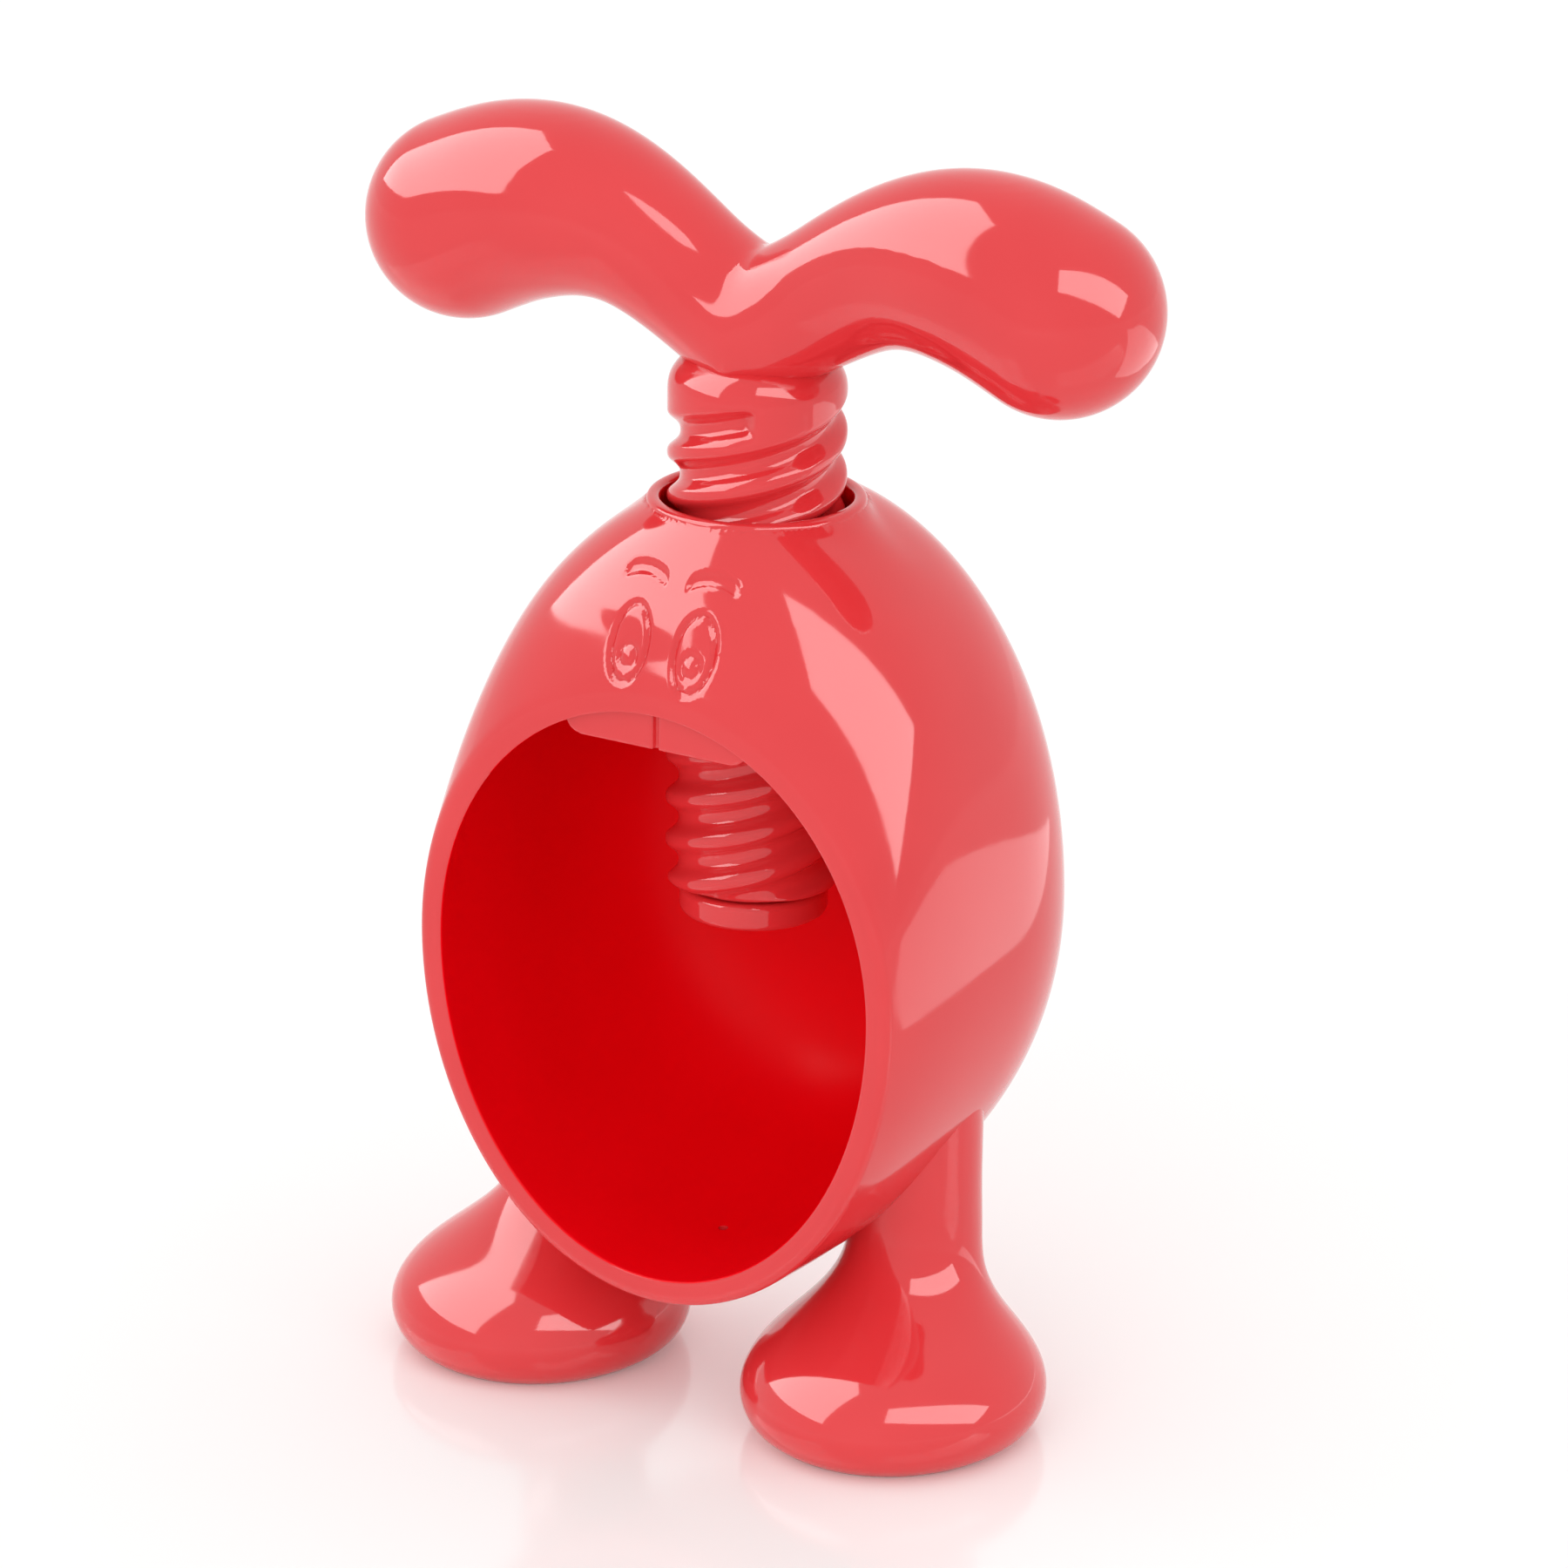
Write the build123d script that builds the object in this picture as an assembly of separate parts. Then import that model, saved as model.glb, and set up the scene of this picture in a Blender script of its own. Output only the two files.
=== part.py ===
from build123d import *
import os
from math import cos, pi, sin

# Screw nutcracker shaped as a long-eared figure. Millimetres, +Z up, the floor at Z = 0.
# The screw axis is the Z axis, the mouth faces -Y, and +X is the viewer's right.

# Body shell
wall = 3.0                  # moulded wall of the egg-shaped body
mouth_plane = 22.4          # flat mouth rim, in front of the screw axis
back_depth = 27.2           # rearmost point of the body, behind the screw axis
back_height = 61.0          # height of that point
lip_round = 0.6             # rounding of the mouth's rim
core_overrun = 4.0          # how far the hollow is carried past the mouth plane
crown_power = 9             # how suddenly the crown narrows towards the neck
# Depth behind the screw axis, half width, crown, underside, widest height, crown narrowing.
# The rows lie evenly along the outline, so that the egg closes roundly behind the last one.
body_sections = (
    (-mouth_plane, 31.4, 89.0, 15.0, 54.5, 0.0),
    (-16.5, 32.8, 101.2, 15.1, 55.7, 0.19),
    (-9.2, 33.9, 108.5, 15.5, 56.9, 0.31),
    (-0.6, 34.6, 109.6, 16.3, 57.9, 0.29),
    (7.7, 34.5, 107.9, 18.1, 58.4, 0.14),
    (15.7, 32.3, 104.6, 21.3, 58.7, 0.02),
    (21.6, 27.9, 97.5, 26.7, 59.4, 0.0),
    (24.5, 22.1, 87.4, 34.1, 60.4, 0.0),
    (26.1, 15.2, 77.9, 42.8, 60.9, 0.0),
    (27.0, 7.8, 69.4, 52.0, 61.0, 0.0),
)

# Neck and the threaded bush that it holds
neck_top = 106.7            # rim of the neck above the floor
neck_bore = 11.0            # radius of the open neck, clear of the collar
neck_rim = 12.7             # outer radius of the neck's rim
neck_flare = 15.5           # radius where the neck runs into the head
neck_flare_drop = 4.0       # height of that flare
neck_round = 0.8            # rounding of the neck's rim
bush_top = 101.5            # shoulder that takes the thrust of the screw
bush_length = 15.0
bush_radius = 12.8
bush_boss_wall = 3.0        # wall of the boss round the bush
bond_gap = 0.05             # glue line round bonded pieces

# Screw thread
thread_crest = 10.25        # crest radius of the spindle's round thread
thread_depth = 1.5
thread_starts = 3           # right-hand grooves that run side by side
thread_pitch = 5.18         # from one groove to the next
thread_clearance = 0.35     # radial play between the spindle and the bush
thread_fullness = 0.35      # how square the round thread is
thread_points = 8           # points that draw each groove's section
thread_end = 118.1          # height at which each groove stops short of the collar
thread_end_angle = -58.0    # degrees from +X to the first of those stops

# Spindle, at the height that the photograph shows
collar_base = 119.6         # underside of the plain collar
collar_radius = 10.3
collar_height = 1.1
collar_neck = 8.8           # radius of the collar's tapered top
collar_taper = 2.3
press_height = 56.5         # pressing face above the floor
spindle_bore = 4.3          # moulded core of the spindle
web_base = 105.5            # web in the spindle that carries the handle screw
web_thickness = 4.5
socket_flats = 11.0         # hexagon that drives the spindle, across its flats
socket_play = 0.1

# Pressure foot that swivels on the spindle's lower end
foot_radius = 8.6
foot_thickness = 3.2
foot_round = 0.8
foot_dish = 6.0             # radius of the shallow dish that grips the shell
foot_dish_depth = 0.8
swivel_gap = 0.3            # between the foot and the spindle's end
stem_play = 0.08            # running play of the stem in the bore
stem_length = 8.0
bead_height = 0.45          # snap bead on the stem
bead_width = 1.4
bead_start = 5.0            # from the spindle's end to the bead
bead_play = 0.3

# Ear handle
handle_turn = 2.0           # degrees that the ears are turned at rest
spigot_length = 11.0        # hexagon part of the spigot that enters the spindle
spigot_gap = 2.0            # left under the spigot, so that the screw draws the handle home
ear_tip = 11.9              # radius of the rounded ear tip
# Reach from the screw axis, height above the handle's base, radius
ear_sections = (
    (-3.0, 1.8, 8.2),
    (8.0, 7.9, 8.1),
    (16.0, 12.3, 9.1),
    (24.2, 14.2, 10.8),
    (32.2, 13.3, 11.7),
    (38.3, 10.8, ear_tip),
)
hub_height = 4.5            # round hub under the ears
hub_taper = 1.0             # how much narrower the hub is at its top
tip_angles = (25, 48, 68, 82)

# Handle screw
screw_head = 3.4
screw_head_height = 2.4
screw_shank = 1.8
screw_play = 0.2
screw_slot = 0.8            # width of the driver slot
handle_screw_length = 14.0

# Legs and feet
leg_x = 22.7
leg_y = -0.5
leg_radius = 7.6
sole_x = 24.2
sole_y = -7.7
sole_depth = 2.0            # rebate that takes the sole plate
sole_ledge = 1.3            # ledge that the sole plate sits on
sole_edge = 1.8             # wall of the foot round the sole plate
sole_play = 0.1
# Height, share of the way from the sole's centre to the leg's, half width, half length
foot_sections = (
    (0.0, 0.0, 14.2, 15.2),
    (1.6, 0.0, 16.3, 17.2),
    (5.5, 0.0, 17.5, 18.3),
    (10.0, 0.12, 15.4, 15.9),
    (14.0, 0.45, 11.3, 11.5),
    (18.0, 0.8, 8.5, 8.5),
    (22.5, 1.0, 7.7, 7.7),
    (27.0, 1.0, leg_radius, leg_radius),
)
leg_web_base = 18.0         # web in the leg that the leg screw pulls on
leg_web = 3.0
post_radius = 4.6           # post under the body that enters the leg
post_play = 0.1
post_root = 34.5            # the post is carried up into the body's wall
leg_access = 4.0            # radius of the way in for the driver
leg_screw_length = 9.0
pilot_depth = 6.6

# Teeth
tooth_edge = 82.0           # biting edge above the floor
tooth_half_width = 12.2
tooth_setback = 0.9         # behind the mouth plane
tooth_thickness = 2.2
tooth_groove = 0.7
tooth_groove_depth = 0.8
tooth_round = 0.7

# Heights that follow from the sizes above
thread_lead = thread_starts * thread_pitch
bush_base = bush_top - bush_length
spindle_base = press_height + foot_thickness + swivel_gap
collar_top = collar_base + collar_height
handle_base = collar_top + collar_taper
spigot_base = web_base + web_thickness + spigot_gap
leg_web_top = leg_web_base + leg_web


def egg_wire(depth, half_width, crown, underside, widest, narrowing):
    """Closed egg outline in an upright plane that faces the mouth."""
    def point(angle):
        rise = sin(angle)
        reach = crown - widest if rise > 0 else widest - underside
        width = half_width * (1 - narrowing * max(rise, 0.0) ** crown_power)
        return Vector(width * cos(angle), depth, widest + reach * rise)

    steps = 8
    upper = [point(pi * i / steps) for i in range(steps + 1)]
    lower = [point(pi + pi * i / steps) for i in range(steps + 1)]
    up, down = Vector(0, 0, 1), Vector(0, 0, -1)
    return Wire([
        Edge.make_spline(upper, tangents=[up, down]),
        Edge.make_spline(lower, tangents=[down, up]),
    ])


def egg_body(inset):
    """The body's egg, drawn in by inset all round. An inset egg runs on past the mouth plane."""
    squeeze = (back_depth - inset) / back_depth
    wires = []
    for depth, half_width, crown, underside, widest, narrowing in body_sections:
        station = depth * squeeze if depth > 0 else depth
        wires.append(egg_wire(station, half_width - inset, crown - inset, underside + inset, widest, narrowing))
    if inset:
        depth, half_width, crown, underside, widest, narrowing = body_sections[0]
        ahead = egg_wire(depth - core_overrun, half_width - inset, crown - inset, underside + inset, widest, narrowing)
        wires.insert(0, ahead)
    wires.append(Vertex(0, back_depth - inset, back_height))
    return Solid.make_loft(wires)


def post(radius, base, top, x=0.0, y=0.0):
    """Upright cylinder between two heights."""
    return Pos(x, y, base) * Cylinder(radius, top - base, align=(Align.CENTER, Align.CENTER, Align.MIN))


def turned(*profile):
    """Solid turned about the screw axis from (radius, height) corners."""
    outline = Polyline(*[(radius, height) for radius, height in profile], close=True)
    return revolve(Plane.XZ * make_face(outline), Axis.Z)


def thread_turn(height):
    """Angle, in radians, of the first groove's middle at a height."""
    return thread_end_angle * pi / 180 + 2 * pi * (height - thread_end) / thread_lead


def thread_wire(play, height):
    """Cross-section of the round thread, one hollow for each start, grown by the play given."""
    middle = thread_crest - thread_depth / 2 + play
    steps = thread_points * thread_starts
    points = []
    for i in range(steps):
        angle = 2 * pi * i / steps
        wave = -cos(thread_starts * angle)
        radius = middle + thread_depth / 2 * wave * (1 + thread_fullness * (1 - wave * wave))
        turn = angle + thread_turn(height)
        points.append(Vector(radius * cos(turn), radius * sin(turn), height))
    shares = [i / steps for i in range(steps + 1)]
    return Wire([Edge.make_spline(points, periodic=True, parameters=shares)])


def threaded_rod(play, base, length):
    """Twisted section: a right-hand thread whose phase depends on the height alone."""
    section = thread_wire(play, base)
    turn = 360 * length / thread_lead
    return Solid.extrude_linear_with_rotation(section, (0, 0, base), (0, 0, length), turn)


def hexagon(flats, base, top):
    """Hexagonal prism on the screw axis."""
    outline = RegularPolygon(flats / 2, 6, major_radius=False)
    return Pos(0, 0, base) * extrude(outline, top - base)


def screw(head_base, length, x=0.0, y=0.0):
    """Pan-head screw that points up, with its head below head_base."""
    head = post(screw_head, head_base - screw_head_height, head_base, x, y)
    head = fillet(head.edges().group_by(Axis.Z)[0], screw_head_height / 2)
    recess_depth = screw_head_height / 2
    recess = Pos(x, y, head_base - screw_head_height) * extrude(Rectangle(screw_head, screw_slot), recess_depth)
    return head + post(screw_shank, head_base, head_base + length, x, y) - recess


def outer_form():
    """Outside of the body: the egg, with a flared rim round the neck and a level top."""
    ring = turned(
        (0, bush_base), (neck_flare, bush_base),
        (neck_flare, neck_top - neck_flare_drop), (neck_rim, neck_top - neck_round),
        (neck_rim - neck_round, neck_top), (0, neck_top),
    )
    above = post(neck_flare, neck_top, neck_top + neck_flare)
    return egg_body(0.0) + ring - above


def body_shell(outer, hollow):
    """Hollow egg with its mouth, the boss for the bush, the open neck and the two leg posts."""
    posts = post(post_radius, leg_web_top, post_root, leg_x, leg_y)
    posts += post(post_radius, leg_web_top, post_root, -leg_x, leg_y)
    boss = post(bush_radius + bush_boss_wall, bush_base, neck_top) & outer
    shell = outer + posts - hollow + boss
    shell -= post(bush_radius + bond_gap, bush_base - wall, bush_top)
    shell -= post(neck_bore, bush_base, neck_top + wall)
    for side in (-1, 1):
        shell -= post(screw_shank, leg_web_top, leg_web_top + pilot_depth, side * leg_x, leg_y)
    mouth_rim = shell.faces().sort_by(Axis.Y)[0].edges()
    return fillet(mouth_rim, lip_round)


def neck_bush():
    """Bush with the internal thread, bonded in the neck under its shoulder."""
    threaded_hole = threaded_rod(thread_clearance, bush_base - wall, bush_length + 2 * wall)
    return post(bush_radius, bush_base, bush_top) - threaded_hole


def tooth_plate(hollow):
    """Two front teeth on one plate, trimmed to the inside of the upper lip."""
    front = -mouth_plane + tooth_setback
    height = neck_top - tooth_edge
    plate = Pos(0, front, tooth_edge) * Box(
        2 * tooth_half_width, tooth_thickness, height, align=(Align.CENTER, Align.MIN, Align.MIN))
    groove = Pos(0, front, tooth_edge) * Box(
        tooth_groove, tooth_groove_depth, height, align=(Align.CENTER, Align.MIN, Align.MIN))
    corners = plate.edges().filter_by(Axis.Y).group_by(Axis.Z)[0]
    return (fillet(corners, tooth_round) - groove) & hollow


def oval_wire(x, y, height, half_width, half_length):
    """Level oval whose longer axis runs from the toe to the heel."""
    return Wire.make_ellipse(half_length, half_width, Plane((x, y, height), x_dir=(0, 1, 0)))


def right_leg():
    """Leg and foot in one moulding, with its top still to be trimmed to the body."""
    wires = []
    for height, share, half_width, half_length in foot_sections:
        x = sole_x + (leg_x - sole_x) * share
        y = sole_y + (leg_y - sole_y) * share
        wires.append(oval_wire(x, y, height, half_width, half_length))
    shank = post(leg_radius, foot_sections[-1][0], back_height, leg_x, leg_y)
    moulding = Solid.make_loft(wires) + shank
    rebate = right_sole(sole_edge, sole_depth)
    pocket_half_width = foot_sections[0][2] - sole_edge - sole_ledge
    pocket_half_length = foot_sections[0][3] - sole_edge - sole_ledge
    pocket = Solid.make_loft([
        oval_wire(sole_x, sole_y, 0, pocket_half_width, pocket_half_length),
        oval_wire(leg_x, leg_y, leg_web_base, leg_access, leg_access),
    ])
    bore = post(post_radius + post_play, leg_web_top, back_height + wall, leg_x, leg_y)
    hole = post(screw_shank + screw_play, leg_web_base - wall, leg_web_top + wall, leg_x, leg_y)
    return moulding - rebate - pocket - bore - hole


def right_sole(edge, thickness):
    """Flat oval inside the foot's outline on the floor."""
    half_width, half_length = foot_sections[0][2], foot_sections[0][3]
    return Pos(sole_x, sole_y, 0) * extrude(Ellipse(half_width - edge, half_length - edge), thickness)


def spindle():
    """Threaded spindle with its plain collar, moulded core, screw web and hexagon socket."""
    body = threaded_rod(0.0, spindle_base, collar_base - spindle_base)
    body += turned(
        (0, collar_base), (collar_radius, collar_base), (collar_radius, collar_top),
        (collar_neck, handle_base), (0, handle_base),
    )
    body -= post(spindle_bore, spindle_base, web_base)
    groove_base = spindle_base + bead_start - bead_play
    groove_top = spindle_base + bead_start + bead_width + bead_play
    body -= post(spindle_bore + bead_height, groove_base, groove_top)
    body -= post(screw_shank + screw_play, web_base, web_base + web_thickness)
    socket = hexagon(socket_flats + 2 * socket_play, web_base + web_thickness, handle_base)
    return body - Rot(0, 0, handle_turn) * socket


def pressure_foot():
    """Disc that presses on the nut, with a stem that snaps into the spindle's core."""
    stem = spindle_bore - stem_play
    top = press_height + foot_thickness
    bead_base = spindle_base + bead_start
    bead = stem + bead_height
    disc = post(foot_radius, press_height, top)
    disc = fillet(disc.edges(), foot_round)
    dish = turned((0, press_height), (foot_dish, press_height), (0, press_height + foot_dish_depth))
    pin = turned(
        (0, top - foot_round), (stem, top - foot_round), (stem, bead_base),
        (bead, bead_base + bead_width / 2 - bead_play / 2), (bead, bead_base + bead_width / 2 + bead_play / 2),
        (stem, bead_base + bead_width), (stem, spindle_base + stem_length), (0, spindle_base + stem_length),
    )
    return disc - dish + pin


def ear():
    """One ear: circles across its curved centre line, closed by a rounded tip."""
    stations = [(reach, handle_base + height, radius) for reach, height, radius in ear_sections]
    wires = []
    for i, (reach, height, radius) in enumerate(stations):
        before = stations[max(i - 1, 0)]
        after = stations[min(i + 1, len(stations) - 1)]
        along = Vector(after[0] - before[0], 0, after[1] - before[1]).normalized()
        under = Vector(along.Z, 0, -along.X)
        wires.append(Wire.make_circle(radius, Plane((reach, 0, height), x_dir=under, z_dir=along)))
    middle = Vector(reach, 0, height)
    for angle in tip_angles:
        turn = angle * pi / 180
        centre = middle + along * (radius * sin(turn))
        wires.append(Wire.make_circle(radius * cos(turn), Plane(centre, x_dir=under, z_dir=along)))
    end = middle + along * radius
    wires.append(Vertex(end.X, end.Y, end.Z))
    return Solid.make_loft(wires)


def ear_handle():
    """Both ears on one hub, with the hexagon spigot that turns the spindle."""
    reach = 2 * (ear_sections[-1][0] + 2 * ear_tip)
    quarter = Pos(0, 0, handle_base) * Box(reach, reach, reach, align=(Align.MIN, Align.CENTER, Align.MIN))
    right = ear() & quarter
    handle = right + Rot(0, 0, 180) * right
    handle += turned(
        (0, handle_base), (collar_neck, handle_base), (collar_neck - hub_taper, handle_base + hub_height),
        (0, handle_base + hub_height),
    )
    handle += post(socket_flats / 2 - socket_play, spigot_base, handle_base + hub_height)
    handle += hexagon(socket_flats, spigot_base, spigot_base + spigot_length)
    handle -= post(screw_shank, web_base, web_base + handle_screw_length)
    return Rot(0, 0, handle_turn) * handle


def build():
    """Every piece of the nutcracker, by name."""
    outer = outer_form()
    hollow = egg_body(wall)
    pieces = {
        "body_shell": body_shell(outer, hollow),
        "neck_bush": neck_bush(),
        "tooth_plate": tooth_plate(hollow),
        "spindle": spindle(),
        "pressure_foot": pressure_foot(),
        "ear_handle": ear_handle(),
        "handle_screw": screw(web_base, handle_screw_length),
    }
    leg = right_leg()
    pieces["right_leg"] = leg - outer
    pieces["left_leg"] = mirror(leg, about=Plane.YZ) - outer
    sole = right_sole(sole_edge + sole_play, sole_depth)
    pieces["right_sole"] = sole
    pieces["left_sole"] = mirror(sole, about=Plane.YZ)
    leg_screws = [screw(leg_web_base, leg_screw_length, side * leg_x, leg_y) for side in (-1, 1)]
    pieces["leg_screws"] = Compound(children=leg_screws)
    return pieces


os.makedirs("parts", exist_ok=True)
for node, shape in build().items():
    export_step(shape, "parts/" + node + ".step")
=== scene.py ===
from math import cos, pi, radians, sin, tau

import bpy
import numpy as np
from mathutils import Matrix, Vector


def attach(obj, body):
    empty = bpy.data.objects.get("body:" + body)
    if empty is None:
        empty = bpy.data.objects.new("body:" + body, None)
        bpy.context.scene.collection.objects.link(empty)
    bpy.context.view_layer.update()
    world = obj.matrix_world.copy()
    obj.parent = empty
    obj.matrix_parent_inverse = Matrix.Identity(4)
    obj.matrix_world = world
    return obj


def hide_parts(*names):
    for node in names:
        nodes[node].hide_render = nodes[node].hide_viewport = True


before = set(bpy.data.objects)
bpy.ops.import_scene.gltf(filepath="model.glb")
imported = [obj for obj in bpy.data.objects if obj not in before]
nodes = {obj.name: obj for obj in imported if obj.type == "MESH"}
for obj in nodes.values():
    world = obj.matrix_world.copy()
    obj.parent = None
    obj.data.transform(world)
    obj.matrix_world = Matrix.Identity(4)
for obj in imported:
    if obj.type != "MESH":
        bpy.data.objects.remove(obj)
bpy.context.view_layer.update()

# Screw nutcracker in gloss red plastic. Sizes below are in millimetres, in the frame of the solids:
# the floor at Z = 0, the screw on the Z axis, the mouth towards -Y and +X to the viewer's right.
MM = 0.001
TINY = 1e-6

# Egg-shaped body: depth behind the screw axis, half width, crown, underside, widest height, crown narrowing
BODY_SECTIONS = (
    (-22.4, 31.4, 89.0, 15.0, 54.5, 0.0),
    (-16.5, 32.8, 101.2, 15.1, 55.7, 0.19),
    (-9.2, 33.9, 108.5, 15.5, 56.9, 0.31),
    (-0.6, 34.6, 109.6, 16.3, 57.9, 0.29),
    (7.7, 34.5, 107.9, 18.1, 58.4, 0.14),
    (15.7, 32.3, 104.6, 21.3, 58.7, 0.02),
    (21.6, 27.9, 97.5, 26.7, 59.4, 0.0),
    (24.5, 22.1, 87.4, 34.1, 60.4, 0.0),
    (26.1, 15.2, 77.9, 42.8, 60.9, 0.0),
    (27.0, 7.8, 69.4, 52.0, 61.0, 0.0),
)
BODY_BACK = 27.2
BODY_BACK_HEIGHT = 61.0
BODY_WALL = 3.0
CROWN_POWER = 9
MOUTH_PLANE = 22.4
LIP_OUTER_ROUND = 1.3
LIP_INNER_ROUND = 0.7
OUTLINE_LENGTH = 85.0       # about, from the back to the mouth along the outside
HOLLOW_MIDDLE = 57.9        # height of the middle of the hollow
GATE_MARK = (0.2, -6.5, 18.7)
GATE_MARK_RADIUS = 0.6
GATE_MARK_DEPTH = 0.9

# Rows and columns of the body's surface
FACE_SHARE = 0.72           # share of the outline at which the finer rows of the face begin
BACK_ROWS = 80
FACE_ROWS = 90
OUTER_ROUND_ROWS = 8
INNER_ROUND_ROWS = 7
INSIDE_ROWS = 59
BODY_COLUMNS = 300
COLUMN_CROWDING = 0.8       # how far the columns crowd towards the crown
MARKED_ROUND_ROWS = 6       # rows of the lip's round that the face marks reach
TRIM_ROWS = 90              # of the plain egg that trims other pieces
TRIM_COLUMNS = 160

# Neck of the body, with its rim's and its bore's rounded edges as steps from the corner
NECK_TOP = 106.7
NECK_BORE = 11.0
NECK_RIM = 12.6
NECK_SEGMENTS = 160
RIM_FOOT = 99.0
RIM_FULL = 103.0
RIM_TAPER = 0.5
RIM_ROUND = ((0.0, 0.7), (0.06, 0.43), (0.2, 0.2), (0.43, 0.06), (0.7, 0.0))
BORE_ROUND = ((0.0, -0.5), (0.15, -0.15), (0.5, 0.05))
BORE_OVERRUN = 5.0
BUSH_TOP = 101.5
BUSH_BASE = 86.5
BUSH_SEAT = 12.85
BOSS_RADIUS = 15.8
BOSS_TOP = 98.0

# Flare of the crown up to the neck's rim, steep in front and behind, and slight at the sides
FLARE_START = 0.55          # below the neck's top
FLARE_FRONT = 3.2
FLARE_SIDE = 1.15
FLARE_SIDE_POWER = 0.85
FLARE_BLEND = 0.12          # square millimetres, softness where it meets the crown
FLARE_FADE = (16.0, 21.0)   # radii between which it dies away
FLARE_BASE = 90.0
RIM_COVER = 0.5             # how far the crown stays below the rim's top

# Screw thread: three right-hand grooves
THREAD_CREST = 10.25
THREAD_DEPTH = 1.5
THREAD_STARTS = 3
THREAD_PITCH = 5.18
THREAD_LEAD = THREAD_STARTS * THREAD_PITCH
THREAD_FULLNESS = 0.35
THREAD_END = 118.1
THREAD_END_ANGLE = radians(-58.0)
THREAD_END_FILL = 1.6       # length over which a groove runs out
THREAD_TOP = 119.0
THREAD_STEP = 0.16          # from row to row

# Spindle: radius and rise of its lower end, then height and radius of its barrel-shaped collar
SPINDLE_BASE = 60.0
SPINDLE_COLUMNS = 240
SPINDLE_FOOT = ((0.0, 0.0), (6.5, 0.0), (8.0, 0.0), (8.35, 0.1))
SPINDLE_THREAD_RISE = 0.5   # first row of the thread above the lower end
SPINDLE_END_RISE = 1.2      # height over which the thread draws in at the lower end
SPINDLE_END_DRAW = 0.5
COLLAR_SECTIONS = (
    (119.2, 10.25), (119.8, 10.22), (120.4, 10.12), (120.9, 9.95), (121.4, 9.7), (121.9, 9.35), (122.3, 9.0),
    (122.7, 8.55), (123.1, 8.0), (123.5, 7.2), (123.8, 6.2), (124.0, 4.5), (124.05, 0.0),
)

# Ears: reach from the screw axis, height above the handle's base, radius
HANDLE_BASE = 123.0
HANDLE_TURN = radians(2.0)
EAR_SECTIONS = (
    (-3.0, 1.8, 8.2),
    (8.0, 7.9, 8.1),
    (16.0, 12.3, 9.1),
    (24.2, 14.2, 10.8),
    (32.2, 13.3, 11.7),
    (38.3, 10.8, 11.9),
)
EAR_ROWS = 130
EAR_COLUMNS = 96
EAR_STEP = 0.01             # for the direction of the ear's middle line
EAR_ROOT_WIDENING = 0.12
EAR_ROOT_REACH = (3.0, 14.0)
EAR_OVERLAP = 0.4           # of each ear past the screw axis
EAR_FLOOR = 121.0
EAR_VOXEL = 0.5
EAR_SMOOTHING = 14
VALLEY_REACH = (3.0, 8.0)
VALLEY_HEIGHTS = (123.5, 126.0)
VALLEY_SMOOTHING = 40

# Face marks pressed into the head: sideways place, height, sizes
FACE_HALF_WIDTH = 10.0
FACE_BASE = 87.0
FACE_TOP = 104.0
FACE_LEAN = 0.15            # least lean of the head's surface towards the front
EYE_PLACE = (4.25, 93.7)
EYE_HALF_WIDTH = 2.4
EYE_HALF_HEIGHT = 4.15
EYE_LINE = 0.55
EYE_DEPTH = 0.42
PUPIL_PLACE = (4.15, 92.4)
PUPIL_RADIUS = 1.15
PUPIL_LINE = 0.5
PUPIL_DEPTH = 0.26
PUPIL_DOME = 0.16
BROW_CENTRE = (4.4, 95.6)
BROW_RADIUS = 5.86
BROW_HALF_SPAN = 2.4
BROW_LINE = 0.6
BROW_EDGE = 0.25            # softness of the brow's edge
BROW_DEPTH = 0.45

# Legs and feet: height, share of the way from the sole's middle to the leg's, half width, half length
LEG_PLACE = (22.7, -0.5)
SOLE_PLACE = (24.2, -7.7)
LEG_RADIUS = 7.6
FOOT_SECTIONS = (
    (0.0, 0.0, 14.2, 15.2),
    (1.6, 0.0, 16.3, 17.2),
    (5.5, 0.0, 17.5, 18.3),
    (10.0, 0.12, 15.4, 15.9),
    (14.0, 0.45, 11.3, 11.5),
    (18.0, 0.8, 8.5, 8.5),
    (22.5, 1.0, 7.7, 7.7),
    (27.0, 1.0, LEG_RADIUS, LEG_RADIUS),
    (34.0, 1.0, LEG_RADIUS, LEG_RADIUS),
    (41.0, 1.0, LEG_RADIUS, LEG_RADIUS),
    (48.0, 1.0, LEG_RADIUS, LEG_RADIUS),
)
LEG_ROWS = 150
LEG_CAP_ROWS = 6
LEG_COLUMNS = 112
LEG_SINK = 0.25             # of the leg's top into the body's wall
SOLE_DEPTH = 2.0
SOLE_EDGE = 1.8

# Front teeth
TOOTH_EDGE = 82.0
TOOTH_TOP = 96.0
TOOTH_HALF_WIDTH = 12.2
TOOTH_FRONT = -21.5
TOOTH_THICKNESS = 2.2
TOOTH_CORNER = 2.4
TOOTH_GAP = 0.7
TOOTH_GAP_DEPTH = 0.8
TOOTH_VOXEL = 0.22
TOOTH_SMOOTHING = 5

# Floor, lamps and camera, in metres
FLOOR_SIZE = 14.0
FLOOR_LIFT = 0.13           # brightening of the floor towards white
LAMP_AIM = 0.08             # height that the lamps look at
CAMERA_PLACE = (0.46818, -0.76139, 0.39042)
CAMERA_TURN = radians(31.37)
CAMERA_RISE = radians(19.63)
CAMERA_ROLL = radians(0.54)
CAMERA_LENS = 189.48


def clear_selection():
    """Nothing selected, so that an operator acts on one piece alone."""
    if bpy.context.object and bpy.context.object.mode != "OBJECT":
        bpy.ops.object.mode_set(mode="OBJECT")
    bpy.ops.object.select_all(action="DESELECT")


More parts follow.
